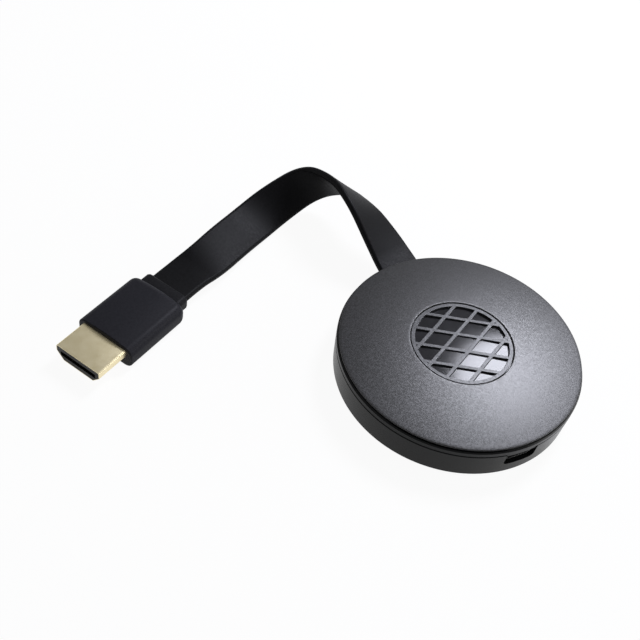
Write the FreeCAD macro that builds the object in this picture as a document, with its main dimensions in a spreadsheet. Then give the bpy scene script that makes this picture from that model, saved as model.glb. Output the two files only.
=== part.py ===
"""Wireless display dongle: a round two-shell puck on a short flat cable with a video plug.

Millimetres. The origin is the middle of the puck's underside, +Z is up, the power socket
faces -Y and the flat cable leaves at +Y. The plug lies on the same surface as the puck.
"""
import FreeCAD, Part
import math
import os
import re
import Sketcher
from FreeCAD import Placement, Rotation, Vector

# Driving sizes, each with the alias that the formulas below use.
SIZES = {
    # Lower case and rim
    "case_radius": 31.4,
    "foot_taper": 0.4,
    "foot_chamfer": 0.8,
    "case_wall": 1.4,
    "floor_thickness": 1.5,
    "seam_height": 8.0,
    "seam_chamfer": 0.15,
    "rim_height": 1.5,
    "rim_top_chamfer": 0.3,
    "spigot_depth": 1.2,
    "spigot_wall": 0.9,
    "shell_gap": 0.1,
    # Shadow groove and domed cover
    "groove_height": 0.8,
    "groove_depth": 1.2,
    "cover_inset": 0.4,
    "cover_edge": 0.5,
    "cover_edge_chamfer": 0.3,
    "crown_rise": 2.05,
    "cover_thickness": 1.35,
    "skirt_depth": 1.5,
    "skirt_wall": 1.0,
    # Round emblem pan with its gloss inlay and rib lattice
    "pan_radius": 13.2,
    "pan_floor_height": 11.0,
    "pan_floor_thickness": 0.8,
    "pan_wall": 1.1,
    "emblem_gap": 0.2,
    "inlay_thickness": 0.6,
    "lattice_thickness": 0.7,
    "lattice_ring_width": 1.0,
    "rib_width": 0.9,
    "rib_spacing": 5.2,
    "rib_angle": 30.0,
    # Board and its posts
    "board_gap": 2.6,
    "board_thickness": 1.0,
    "post_radius": 2.4,
    "post_inset": 4.6,
    "post_angle": 45.0,
    "pilot_radius": 0.8,
    "pilot_depth": 2.9,
    "screw_gap": 0.05,
    "screw_length": 3.4,
    "screw_head_radius": 1.5,
    "screw_head_height": 0.9,
    "screw_slot_width": 0.4,
    "screw_slot_depth": 0.35,
    # Micro power socket and its opening at the seam
    "port_width": 8.6,
    "port_height": 3.4,
    "port_corner": 1.0,
    "port_tab_height": 0.5,
    "port_tab_setback": 0.3,
    "notch_margin": 0.5,
    "socket_width": 7.4,
    "socket_height": 2.4,
    "socket_length": 5.6,
    "socket_metal": 0.3,
    "socket_taper": 0.9,
    "socket_recess": 1.2,
    "socket_sill": 0.5,
    "tongue_width": 3.8,
    "tongue_thickness": 0.6,
    "tongue_length": 4.2,
    "contact_width": 0.25,
    "contact_length": 3.8,
    "contact_thickness": 0.12,
    "contact_pitch": 0.65,
    # Mode button with its switch, on the +X wall
    "button_width": 4.6,
    "button_height": 1.9,
    "button_drop": 2.0,
    "button_gap": 0.2,
    "button_proud": 0.15,
    "button_edge": 0.12,
    "flange_lip": 0.5,
    "flange_thickness": 0.8,
    "flange_gap": 0.15,
    "plunger_width": 1.6,
    "plunger_height": 1.2,
    "plunger_length": 2.4,
    "plunger_gap": 0.2,
    "switch_length": 3.4,
    "switch_width": 4.6,
    "switch_height": 2.6,
    "button_travel": 0.3,
    # Flat cable and its anchor
    "ribbon_width": 12.0,
    "ribbon_thickness": 2.0,
    "ribbon_edge_round": 0.5,
    "ribbon_gap": 0.35,
    "anchor_width": 15.0,
    "anchor_length": 4.0,
    "anchor_height": 3.35,
    "anchor_edge": 0.6,
    "anchor_setback": 1.0,
    # Plug, measured along its own axis from the cable end
    "collar_length": 3.4,
    "collar_width": 13.6,
    "collar_height": 4.5,
    "collar_round": 1.3,
    "collar_rear_chamfer": 0.8,
    "plug_length": 20.2,
    "plug_width": 17.5,
    "plug_side_height": 6.7,
    "plug_crown": 0.5,
    "plug_top_round": 2.3,
    "plug_foot_round": 2.4,
    "plug_shoulder": 2.0,
    "plug_shoulder_draw": 1.3,
    "plug_centre_height": 3.6,
    "tip_width": 13.9,
    "tip_height": 4.45,
    "tip_foot_width": 9.6,
    "tip_side_drop": 2.0,
    "tip_round": 0.5,
    "tip_metal": 0.35,
    "tip_exposed": 9.3,
    "tip_embedded": 4.0,
    "insulator_gap": 0.05,
    "insulator_recess": 0.4,
    "mouth_width": 11.2,
    "mouth_height": 1.5,
    "mouth_depth": 6.5,
    "pin_width": 0.45,
    "pin_thickness": 0.15,
    "pin_length": 4.5,
    "pin_pitch": 1.0,
    # How far a cut runs past the face that it opens
    "cut_margin": 1.0,
}

# Board components: length along X, width along Y, height, and the middle on the board.
COMPONENTS = {
    "processor": (13.0, 13.0, 1.2, 0.0, 0.5),
    "pad": (12.0, 12.0, 0.5, 0.0, 0.5),
    "spreader": (15.0, 20.0, 0.8, 0.0, 0.5),
    "memory": (8.0, 11.0, 1.0, 13.0, 2.0),
    "flash": (12.0, 9.0, 1.0, 0.0, 13.6),
    "shield": (12.0, 10.0, 1.8, -14.2, -9.2),
    "inductor": (4.0, 4.0, 1.9, 10.5, -9.0),
    "crystal": (3.2, 2.5, 0.8, -5.0, -14.2),
    "capacitor": (1.0, 1.8, 0.8, -1.0, -14.0),
}
for kind, values in COMPONENTS.items():
    for word, value in zip(("length", "width", "height", "x", "y"), values):
        SIZES[kind + "_" + word] = value
SIZES["inductor_spacing"] = 5.5
SIZES["capacitor_spacing"] = 2.0
SIZES["pad_corner"] = 0.8
SIZES["spreader_corner"] = 2.0
SIZES["shield_metal"] = 0.2
SIZES["antenna_length"] = 2.0
SIZES["antenna_width"] = 6.0
SIZES["antenna_height"] = 1.1
SIZES["antenna_edge"] = 1.6
SIZES["antenna_y"] = -3.0

# Flat cable: its route, chosen by hand, and the way its width points at each place.
RIBBON_ROUTE = [
    ((0.0, 26.0, 6.5), (1.0, 0.0, 0.0)),
    ((0.0, 33.6, 6.5), (0.99, 0.13, 0.01)),
    ((-1.8, 43.0, 10.4), (0.94, 0.25, -0.23)),
    ((-4.4, 51.7, 14.7), (0.80, 0.28, -0.53)),
    ((-5.4, 61.3, 13.8), (0.63, 0.24, -0.74)),
    ((-10.9, 69.2, 9.5), (0.39, -0.29, -0.87)),
    ((-22.2, 67.9, 4.4), (0.40, -0.61, -0.68)),
    ((-31.5, 63.5, 3.0), (0.45, -0.83, -0.34)),
    ((-40.2, 57.8, 4.1), (0.47, -0.83, -0.31)),
    ((-47.9, 52.6, 4.6), (0.49, -0.85, -0.18)),
    ((-54.4, 50.2, 3.6), (0.51, -0.86, 0.03)),
    ((-61.0, 46.3, 3.6), (0.51, -0.86, 0.0)),
]
# Each bend's arc starts this share of its shorter run away from the route point.
ARC_SHARE = 0.45
BOARD_SCREWS = 4
RIBS_EACH_WAY = 4
SOCKET_CONTACTS = 5
TOP_PINS = 10
BOTTOM_PINS = 9
INDUCTORS = 3
CAPACITORS = 6

doc = FreeCAD.newDocument("DisplayDongle")
sheet = doc.addObject("Spreadsheet::Sheet", "Sizes")
working = doc.addObject("Spreadsheet::Sheet", "Working")
for row, (alias, value) in enumerate(SIZES.items(), start=1):
    sheet.set("A%d" % row, alias.replace("_", " "))
    sheet.set("B%d" % row, str(value))
    sheet.setAlias("B%d" % row, alias)
doc.recompute()

# Places that several pieces share, as formulas of the driving sizes.
FOOT_RADIUS = "(case_radius - foot_taper)"
GROOVE_RADIUS = "(case_radius - groove_depth)"
COVER_RADIUS = "(case_radius - cover_inset)"
CASE_INNER = "(%s - case_wall)" % FOOT_RADIUS
SPIGOT_OUTER = "(%s - shell_gap)" % CASE_INNER
SPIGOT_INNER = "(%s - spigot_wall)" % SPIGOT_OUTER
RIM_TOP = "(seam_height + rim_height)"
COVER_FOOT = "(seam_height + rim_height + groove_height)"
COVER_EDGE_TOP = "(seam_height + rim_height + groove_height + cover_edge)"
DOME_RADIUS = "((%s ^ 2 + crown_rise ^ 2) / (2 * crown_rise))" % COVER_RADIUS
DOME_CENTRE = "(%s + crown_rise - %s)" % (COVER_EDGE_TOP, DOME_RADIUS)
SKIRT_OUTER = "(%s - shell_gap)" % SPIGOT_INNER
SKIRT_INNER = "(%s - skirt_wall)" % SKIRT_OUTER
BOARD_RADIUS = "(%s - board_gap)" % CASE_INNER
POST_CIRCLE = "(%s - post_inset)" % BOARD_RADIUS
PORT_BOTTOM = "(seam_height - port_tab_height - port_height)"
BOARD_TOP = "(%s + socket_sill)" % PORT_BOTTOM
BOARD_BOTTOM = "(%s - board_thickness)" % BOARD_TOP
ANCHOR_FACE = "(%s - anchor_setback)" % BOARD_RADIUS
PAD_BASE = "(%s + processor_height)" % BOARD_TOP
SPREADER_BASE = "(%s + processor_height + pad_height)" % BOARD_TOP
RIBBON_EXIT_HEIGHT = RIBBON_ROUTE[0][0][2]
SOCKET_FRONT = "(socket_recess - case_radius)"
EMBLEM_RADIUS = "(pan_radius - emblem_gap)"
INLAY_TOP = "(pan_floor_height + inlay_thickness)"
RING_MIDDLE = "(%s - lattice_ring_width / 2)" % EMBLEM_RADIUS
BUTTON_CENTRE = "(seam_height - button_drop)"
WALL_AT_BUTTON = "(case_radius - foot_taper * button_drop / seam_height)"
FLANGE_OUTER = "(sqrt(%s ^ 2 - (button_width / 2 + flange_lip) ^ 2) - flange_gap)" % CASE_INNER
FLANGE_INNER = "(%s - flange_thickness)" % FLANGE_OUTER
PLUG_REAR = "collar_length"
PLUG_FRONT = "(collar_length + plug_length)"
TIP_START = "(collar_length + plug_length - tip_embedded)"
TIP_END = "(collar_length + plug_length + tip_exposed)"

FUNCTIONS = ("sqrt", "cos", "sin")
NAMED_PLANES = {"top": "XY_Plane", "front": "XZ_Plane", "side": "YZ_Plane"}


def formula(text):
    """The text with each size's alias written as a cell of the sheet."""
    def cell(match):
        word = match.group(0)
        return word if word in FUNCTIONS else "Sizes." + word
    return re.sub(r"[a-z_]{2,}", cell, text)


def number(text):
    """The value of a formula, worked out in a spare sheet."""
    working.set("A1", "=" + formula(text))
    working.recompute()
    return float(working.get("A1"))


def bind(target, path, text):
    """Tie one property of an object to a formula."""
    target.setExpression(path, formula(text))


def body(label):
    """An empty PartDesign body for one sub-part."""
    made = doc.addObject("PartDesign::Body", label.title().replace("_", ""))
    made.Label = label
    return made


def sketch_on(owner, plane, name, offset=None, turn=0.0):
    """A sketch on one of the body's own planes, lifted along its normal and turned in it."""
    sketch = owner.newObject("Sketcher::SketchObject", owner.Name + name)
    role = NAMED_PLANES[plane]
    support = [item for item in owner.Origin.OriginFeatures if item.Role == role][0]
    sketch.AttachmentSupport = [(support, "")]
    sketch.MapMode = "FlatFace"
    if turn:
        sketch.AttachmentOffset = Placement(Vector(), Rotation(Vector(0, 0, 1), turn))
    if offset:
        bind(sketch, "AttachmentOffset.Base.z", offset)
    return sketch


def hold(sketch, kind, where, text):
    """Add one constraint and tie its value to a formula."""
    index = sketch.addConstraint(Sketcher.Constraint(kind, *where, number(text)))
    bind(sketch, "Constraints[%d]" % index, text)


def outline(sketch, corners):
    """A closed outline through corners (x, y) or (x, y, radius): the radius is that of the arc
    to the next corner, bowed to the right of the way there, or to the left when it is "-"."""
    places = [Vector(number(corner[0]), number(corner[1]), 0) for corner in corners]
    first = sketch.GeometryCount
    ends = []
    for index, corner in enumerate(corners):
        start = places[index]
        end = places[(index + 1) % len(corners)]
        if len(corner) == 2:
            sketch.addGeometry(Part.LineSegment(start, end), False)
            ends.append((1, 2))
            continue
        leftward = corner[2].startswith("-")
        radius = number(corner[2].lstrip("-"))
        chord = end - start
        side = Vector(-chord.y, chord.x, 0).normalize() * (-1 if leftward else 1)
        centre = (start + end) * 0.5 + side * math.sqrt(max(radius ** 2 - chord.Length ** 2 / 4, 0))
        angles = [math.atan2(spot.y - centre.y, spot.x - centre.x) for spot in (start, end)]
        if leftward:
            angles.reverse()
        circle = Part.Circle(centre, Vector(0, 0, 1), radius)
        sketch.addGeometry(Part.ArcOfCircle(circle, *angles), False)
        ends.append((2, 1) if leftward else (1, 2))
    for index, corner in enumerate(corners):
        following = (index + 1) % len(corners)
        joint = Sketcher.Constraint("Coincident", first + index, ends[index][1],
                                    first + following, ends[following][0])
        sketch.addConstraint(joint)
        hold(sketch, "DistanceX", (-1, 1, first + index, ends[index][0]), corner[0])
        hold(sketch, "DistanceY", (-1, 1, first + index, ends[index][0]), corner[1])
        if len(corner) == 3:
            hold(sketch, "Radius", (first + index,), corner[2].lstrip("-"))


def circle_at(sketch, x, y, radius):
    """One full circle, held by its centre and radius."""
    middle = Vector(number(x), number(y), 0)
    index = sketch.addGeometry(Part.Circle(middle, Vector(0, 0, 1), number(radius)), False)
    hold(sketch, "DistanceX", (-1, 1, index, 3), x)
    hold(sketch, "DistanceY", (-1, 1, index, 3), y)
    hold(sketch, "Radius", (index,), radius)


def rectangle(sketch, left, bottom, right, top):
    """A rectangle between four formulas."""
    outline(sketch, [(left, bottom), (right, bottom), (right, top), (left, top)])


def rounded_rectangle(sketch, left, bottom, right, top, radius):
    """A rectangle with a quarter arc at each corner."""
    outline(sketch, [
        ("%s + %s" % (left, radius), bottom),
        ("%s - %s" % (right, radius), bottom, radius),
        (right, "%s + %s" % (bottom, radius)),
        (right, "%s - %s" % (top, radius), radius),
        ("%s - %s" % (right, radius), top),
        ("%s + %s" % (left, radius), top, radius),
        (left, "%s - %s" % (top, radius)),
        (left, "%s + %s" % (bottom, radius), radius),
    ])


def slot_outline(sketch, middle_y, width, height):
    """A slot whose round ends are two quarter arcs each, centred on the sketch's upright axis."""
    straight = "((%s - %s) / 2)" % (width, height)
    round_end = "(%s / 2)" % height
    low = "%s - %s" % (middle_y, round_end)
    high = "%s + %s" % (middle_y, round_end)
    outline(sketch, [
        ("-" + straight, low),
        (straight, low, round_end),
        ("%s / 2" % width, middle_y, round_end),
        (straight, high),
        ("-" + straight, high, round_end),
        ("-%s / 2" % width, middle_y, round_end),
    ])


def extrude(owner, kind, sketch, name, length, reverse=False):
    """A pad or a pocket of one sketch."""
    feature = owner.newObject("PartDesign::" + kind, owner.Name + name)
    feature.Profile = sketch
    feature.Reversed = reverse
    bind(feature, "Length", length)
    sketch.Visibility = False
    return feature


def pad(owner, sketch, name, length, reverse=False):
    return extrude(owner, "Pad", sketch, name, length, reverse)


def pocket(owner, sketch, name, length, reverse=False):
    """A pocket that is checked to take something away."""
    doc.recompute()
    before = owner.Shape.Volume
    feature = extrude(owner, "Pocket", sketch, name, length, reverse)
    doc.recompute()
    if owner.Shape.Volume > before - 1e-6:
        raise RuntimeError(feature.Name + " cuts nothing")
    return feature


def revolve(owner, sketch, name):
    """A full turn about the sketch's upright axis."""
    feature = owner.newObject("PartDesign::Revolution", owner.Name + name)
    feature.Profile = sketch
    feature.ReferenceAxis = (sketch, ["V_Axis"])
    feature.Angle = 360.0
    sketch.Visibility = False
    doc.recompute()
    return feature


def edges_where(feature, test):
    """Names of the edges of a feature whose edge passes the test."""
    names = []
    for index, edge in enumerate(feature.Shape.Edges, start=1):
        if test(edge):
            names.append("Edge%d" % index)
    if not names:
        raise RuntimeError("no edge found on " + feature.Name)
    return names


def soften(owner, kind, base, name, test, size):
    """A fillet or chamfer on the edges of the last feature that pass a test."""
    feature = owner.newObject("PartDesign::" + kind, owner.Name + name)
    feature.Base = (base, edges_where(base, test))
    bind(feature, "Radius" if kind == "Fillet" else "Size", size)
    doc.recompute()
    return feature


def ring_edge(radius, height):
    """A test for the edge that runs round the upright axis at one radius and height."""
    def test(edge):
        middle = (edge.FirstParameter + edge.LastParameter) / 2
        spots = [edge.valueAt(edge.FirstParameter), edge.valueAt(middle)]
        off_ring = [abs(math.hypot(spot.x, spot.y) - radius) for spot in spots]
        off_height = [abs(spot.z - height) for spot in spots]
        return max(off_ring + off_height) < 1e-4
    return test


def ease_edges(feature, base, test, size):
    """Set a Part fillet or chamfer up on the edges of its base that pass a test."""
    feature.Base = base
    doc.recompute()
    names = edges_where(base, test)
    feature.Edges = [(int(name[4:]), number(size), number(size)) for name in names]


def block(name, length, width, height, x, y, z):
    """A box of three sizes whose middle stands at x, y with its foot at z."""
    made = doc.addObject("Part::Box", name)
    bind(made, "Length", length)
    bind(made, "Width", width)
    bind(made, "Height", height)
    bind(made, ".Placement.Base.x", "%s - %s / 2" % (x, length))
    bind(made, ".Placement.Base.y", "%s - %s / 2" % (y, width))
    bind(made, ".Placement.Base.z", z)
    return made


def cylinder(name, radius, height, x, y, z):
    """An upright cylinder with its foot at x, y, z."""
    made = doc.addObject("Part::Cylinder", name)
    bind(made, "Radius", radius)
    bind(made, "Height", height)
    bind(made, ".Placement.Base.x", x)
    bind(made, ".Placement.Base.y", y)
    bind(made, ".Placement.Base.z", z)
    return made


def together(label, pieces):
    """Separate solids that share one node."""
    made = doc.addObject("Part::Compound", label.title().replace("_", ""))
    made.Links = pieces
    made.Label = label
    return made


def cut(label, base, tool):
    """One solid less another."""
    made = doc.addObject("Part::Cut", label.title().replace("_", ""))
    made.Base = base
    made.Tool = tool
    made.Label = label
    return made


# Places of the four board posts and their screws.
POST_PLACES = []
for screw in range(BOARD_SCREWS):
    quarter = "(post_angle + %d)" % (screw * 360 // BOARD_SCREWS)
    POST_PLACES.append(("%s * cos(%s)" % (POST_CIRCLE, quarter), "%s * sin(%s)" % (POST_CIRCLE, quarter)))


def make_bottom_case():
    """The lower shell: turned wall and floor, board posts, and the openings at the seam."""
    case = body("bottom_case")
    profile = sketch_on(case, "front", "Wall")
    outline(profile, [
        ("0", "0"),
        (FOOT_RADIUS, "0"),
        ("case_radius", "seam_height"),
        (CASE_INNER, "seam_height"),
        (CASE_INNER, "floor_thickness"),
        ("0", "floor_thickness"),
    ])
    wall = revolve(case, profile, "Turned")
    foot = soften(case, "Chamfer", wall, "Foot", ring_edge(number(FOOT_RADIUS), 0.0), "foot_chamfer")
    seam = ring_edge(number("case_radius"), number("seam_height"))
    soften(case, "Chamfer", foot, "Seam", seam, "seam_chamfer")
    posts = sketch_on(case, "top", "Posts")
    for x, y in POST_PLACES:
        circle_at(posts, x, y, "post_radius")
    pad(case, posts, "PostPad", BOARD_BOTTOM)
    pilots = sketch_on(case, "top", "Pilots", BOARD_BOTTOM)
    for x, y in POST_PLACES:
        circle_at(pilots, x, y, "pilot_radius")
    pocket(case, pilots, "PilotHoles", "pilot_depth")
    port = sketch_on(case, "front", "Port")
    outline(port, [
        ("port_corner - port_width / 2", PORT_BOTTOM),
        ("port_width / 2 - port_corner", PORT_BOTTOM, "port_corner"),
        ("port_width / 2", PORT_BOTTOM + " + port_corner"),
        ("port_width / 2", "seam_height"),
        ("-port_width / 2", "seam_height"),
        ("-port_width / 2", PORT_BOTTOM + " + port_corner", "port_corner"),
    ])
    pocket(case, port, "PortNotch", "case_radius + cut_margin", True)
    exit_low = "%s - ribbon_thickness / 2 - ribbon_gap" % RIBBON_EXIT_HEIGHT
    half_exit = "ribbon_width / 2 + ribbon_gap"
    cable_exit = sketch_on(case, "front", "Exit")
    rectangle(cable_exit, "-(%s)" % half_exit, exit_low, half_exit, "seam_height")
    pocket(case, cable_exit, "ExitNotch", "case_radius + cut_margin")
    button = sketch_on(case, "side", "ButtonSlot")
    slot_outline(button, BUTTON_CENTRE, "(button_width + 2 * button_gap)",
                 "(button_height + 2 * button_gap)")
    pocket(case, button, "ButtonHole", "case_radius + cut_margin", True)
    return case


def make_rim_ring():
    """The middle band: its spigot drops inside the case and its shoulder floors the groove."""
    rim = body("rim_ring")
    profile = sketch_on(rim, "front", "Band")
    outline(profile, [
        (SPIGOT_INNER, "seam_height - spigot_depth"),
        (SPIGOT_OUTER, "seam_height - spigot_depth"),
        (SPIGOT_OUTER, "seam_height"),
        ("case_radius", "seam_height"),
        ("case_radius", RIM_TOP),
        (GROOVE_RADIUS, RIM_TOP),
        (GROOVE_RADIUS, COVER_FOOT),
        (SPIGOT_INNER, COVER_FOOT),
    ])
    band = revolve(rim, profile, "Turned")
    low = soften(rim, "Chamfer", band, "Seam",
                 ring_edge(number("case_radius"), number("seam_height")), "seam_chamfer")
    soften(rim, "Chamfer", low, "Top",
           ring_edge(number("case_radius"), number(RIM_TOP)), "rim_top_chamfer")
    gaps = sketch_on(rim, "top", "SpigotGaps", "seam_height")
    inside = "(%s - cut_margin)" % SPIGOT_INNER
    outside = "(%s + shell_gap / 2)" % SPIGOT_OUTER
    half_port = "(port_width / 2 + notch_margin)"
    half_exit = "(ribbon_width / 2 + ribbon_gap + notch_margin)"
    half_button = "(button_width / 2 + flange_lip + notch_margin)"
    rectangle(gaps, "-" + half_port, "-" + outside, half_port, "-" + inside)
    rectangle(gaps, "-" + half_exit, inside, half_exit, outside)
    rectangle(gaps, inside, "-" + half_button, outside, half_button)
    pocket(rim, gaps, "SpigotNotches", "spigot_depth")
    half_tab = "(port_width / 2 - shell_gap)"
    tab_outer = "(case_radius - port_tab_setback)"
    tab = sketch_on(rim, "top", "Tab", "seam_height - port_tab_height")
    outline(tab, [
        ("-" + half_tab, "-sqrt(%s ^ 2 - %s ^ 2)" % (tab_outer, half_tab), tab_outer),
        (half_tab, "-sqrt(%s ^ 2 - %s ^ 2)" % (tab_outer, half_tab)),
        (half_tab, "-sqrt(%s ^ 2 - %s ^ 2)" % (SPIGOT_OUTER, half_tab), "-" + SPIGOT_OUTER),
        ("-" + half_tab, "-sqrt(%s ^ 2 - %s ^ 2)" % (SPIGOT_OUTER, half_tab)),
    ])
    pad(rim, tab, "PortTab", "port_tab_height + rim_height / 2")
    return rim


def make_top_cover():
    """The lid with its thin edge, inner skirt and shallow emblem pan, domed by a large sphere."""
    turned = body("turned_cover")
    profile = sketch_on(turned, "front", "Profile")
    pan_outer = "(pan_radius + pan_wall)"
    above = "(%s + crown_rise + cut_margin)" % COVER_EDGE_TOP
    inner_dome = "(%s - cover_thickness)" % DOME_RADIUS
    skirt_top = "sqrt(%s ^ 2 - %s ^ 2) + %s" % (inner_dome, SKIRT_INNER, DOME_CENTRE)
    pan_top = "sqrt(%s ^ 2 - %s ^ 2) + %s" % (inner_dome, pan_outer, DOME_CENTRE)
    outline(profile, [
        ("0", "pan_floor_height - pan_floor_thickness"),
        (pan_outer, "pan_floor_height - pan_floor_thickness"),
        (pan_outer, pan_top),
        (SKIRT_INNER, skirt_top),
        (SKIRT_INNER, "%s - skirt_depth" % COVER_FOOT),
        (SKIRT_OUTER, "%s - skirt_depth" % COVER_FOOT),
        (SKIRT_OUTER, COVER_FOOT),
        (COVER_RADIUS, COVER_FOOT),
        (COVER_RADIUS, above),
        ("pan_radius", above),
        ("pan_radius", "pan_floor_height"),
        ("0", "pan_floor_height"),
    ])
    revolve(turned, profile, "Turned")
    sphere = doc.addObject("Part::Sphere", "DomeSphere")
    sphere.Placement = Placement(Vector(), Rotation(Vector(1, 0, 0), 90))
    bind(sphere, "Radius", DOME_RADIUS)
    bind(sphere, ".Placement.Base.z", DOME_CENTRE)
    domed = doc.addObject("Part::Common", "DomedCover")
    domed.Base = turned
    domed.Tool = sphere
    cover = doc.addObject("Part::Chamfer", "TopCover")
    ease_edges(cover, domed, ring_edge(number(COVER_RADIUS), number(COVER_EDGE_TOP)), "cover_edge_chamfer")
    cover.Label = "top_cover"
    return cover


def make_inlay_plate():
    """The gloss black disc that floors the emblem pan."""
    inlay = body("inlay_plate")
    disc = sketch_on(inlay, "top", "Disc", "pan_floor_height")
    circle_at(disc, "0", "0", EMBLEM_RADIUS)
    pad(inlay, disc, "Plate", "inlay_thickness")
    return inlay


def make_emblem_lattice():
    """A ring filled with two sets of straight ribs that cross as a diamond lattice."""
    lattice = body("emblem_lattice")
    ring = sketch_on(lattice, "top", "Ring", INLAY_TOP)
    circle_at(ring, "0", "0", EMBLEM_RADIUS)
    circle_at(ring, "0", "0", "%s - lattice_ring_width" % EMBLEM_RADIUS)
    pad(lattice, ring, "RingPad", "lattice_thickness")
    for name, sense in (("Rising", 1), ("Falling", -1)):
        ribs = sketch_on(lattice, "top", name, INLAY_TOP, sense * SIZES["rib_angle"])
        for rib in range(RIBS_EACH_WAY):
            middle = "(rib_spacing * %.1f)" % (rib - (RIBS_EACH_WAY - 1) / 2)
            reach = "sqrt(%s ^ 2 - %s ^ 2)" % (RING_MIDDLE, middle)
            rectangle(ribs, "-" + reach, middle + " - rib_width / 2", reach, middle + " + rib_width / 2")
        pad(lattice, ribs, name + "Pad", "lattice_thickness")
    return lattice


def make_circuit_board():
    """The round board with its screw holes."""
    board = body("circuit_board")
    disc = sketch_on(board, "top", "Disc", BOARD_BOTTOM)
    circle_at(disc, "0", "0", BOARD_RADIUS)
    for x, y in POST_PLACES:
        circle_at(disc, x, y, "pilot_radius")
    pad(board, disc, "Plate", "board_thickness")
    return board


def make_board_screws():
    """Slotted pan-head screws, one in each post."""
    screws = []
    for index, (x, y) in enumerate(POST_PLACES):
        name = "Screw%d" % index
        shank = cylinder(name + "Shank", "pilot_radius - screw_gap", "screw_length", x, y,
                         "%s - screw_length" % BOARD_TOP)
        head = cylinder(name + "Head", "screw_head_radius", "screw_head_height", x, y, BOARD_TOP)
        whole = doc.addObject("Part::MultiFuse", name + "Whole")
        whole.Shapes = [shank, head]
        slot = block(name + "Slot", "2 * screw_head_radius + cut_margin", "screw_slot_width",
                     "screw_head_height", x, y,
                     "%s + screw_head_height - screw_slot_depth" % BOARD_TOP)
        screws.append(cut(name, whole, slot))
    return together("board_screws", screws)


def component(name, base, x_shift="0", y_shift="0", label=None):
    """One board component as a box with the sizes of its kind."""
    made = block(label or name.title() + "Block", name + "_length", name + "_width", name + "_height",
                 "(%s_x + %s)" % (name, x_shift), "(%s_y + %s)" % (name, y_shift), base)
    return made


def make_processor():
    """The main chip."""
    chip = component("processor", BOARD_TOP)
    chip.Label = "main_processor"
    return chip


def rounded_plate(label, name, base):
    """A plate with the sizes of its kind and rounded corners."""
    plate = body(label)
    shape = sketch_on(plate, "top", "Shape", base)
    rounded_rectangle(shape, "%s_x - %s_length / 2" % (name, name), "%s_y - %s_width / 2" % (name, name),
                      "%s_x + %s_length / 2" % (name, name), "%s_y + %s_width / 2" % (name, name),
                      name + "_corner")
    pad(plate, shape, "Plate", name + "_height")
    return plate


def make_memory_chips():
    """Two memory chips, one each side of the main chip."""
    right_chip = component("memory", BOARD_TOP, label="MemoryRight")
    left_chip = component("memory", BOARD_TOP, "-2 * memory_x", label="MemoryLeft")
    return together("memory_chips", [right_chip, left_chip])


def make_flash_chip():
    """The storage chip."""
    chip = component("flash", BOARD_TOP)
    chip.Label = "flash_chip"
    return chip


def make_radio_shield():
    """The pressed can over the radio circuit, open below."""
    can = component("shield", BOARD_TOP, label="ShieldOutside")
    hollow = block("ShieldInside", "(shield_length - 2 * shield_metal)",
                   "(shield_width - 2 * shield_metal)", "(shield_height - shield_metal)",
                   "shield_x", "shield_y", BOARD_TOP)
    return cut("radio_shield", can, hollow)


def make_chip_antenna():
    """The ceramic aerial at the board's edge."""
    aerial = block("AntennaBlock", "antenna_length", "antenna_width", "antenna_height",
                   "(antenna_edge + antenna_length / 2 - %s)" % BOARD_RADIUS, "antenna_y", BOARD_TOP)
    aerial.Label = "chip_antenna"
    return aerial


def row_of(label, name, count):
    """Equal components in one row along X."""
    pieces = []
    for index in range(count):
        shift = "%d * %s_spacing" % (index, name)
        pieces.append(component(name, BOARD_TOP, shift, label="%s%d" % (name.title(), index)))
    return together(label, pieces)


def make_crystal():
    """The clock crystal."""
    crystal = component("crystal", BOARD_TOP)
    crystal.Label = "clock_crystal"
    return crystal


def socket_outline(sketch, inset):
    """The socket's flared trapezoid: full width above, narrower at its foot."""
    half = "(socket_width / 2 - %s)" % inset
    low = "(%s + %s)" % (BOARD_TOP, inset)
    high = "(%s + socket_height - %s)" % (BOARD_TOP, inset)
    outline(sketch, [
        ("socket_taper - " + half, low),
        (half + " - socket_taper", low),
        (half, low + " + socket_taper"),
        (half, high),
        ("-" + half, high),
        ("-" + half, low + " + socket_taper"),
    ])


def make_socket_shell():
    """The folded metal shell of the power socket, open to the front."""
    shell = body("socket_shell")
    outside = sketch_on(shell, "front", "Outside", "-" + SOCKET_FRONT)
    socket_outline(outside, "0")
    pad(shell, outside, "Block", "socket_length", True)
    inside = sketch_on(shell, "front", "Inside", "-" + SOCKET_FRONT)
    socket_outline(inside, "socket_metal")
    pocket(shell, inside, "Hollow", "socket_length - socket_metal")
    return shell


def make_socket_tongue():
    """The tongue inside the power socket, held by the shell's back wall."""
    back = "(%s + socket_length - socket_metal)" % SOCKET_FRONT
    tongue = block("TongueBlock", "tongue_width", "tongue_length", "tongue_thickness", "0",
                   "(%s - tongue_length / 2)" % back,
                   "(%s + (socket_height - tongue_thickness) / 2)" % BOARD_TOP)
    tongue.Label = "socket_tongue"
    return tongue


def make_socket_contacts():
    """Five contact strips under the tongue."""
    back = "(%s + socket_length - socket_metal)" % SOCKET_FRONT
    strips = []
    for index in range(SOCKET_CONTACTS):
        x = "(contact_pitch * %d)" % (index - SOCKET_CONTACTS // 2)
        strips.append(block("SocketContact%d" % index, "contact_width", "contact_length",
                            "contact_thickness", x, "(%s - contact_length / 2)" % back,
                            "(%s + (socket_height - tongue_thickness) / 2 - contact_thickness)"
                            % BOARD_TOP))
    return together("socket_contacts", strips)


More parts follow.
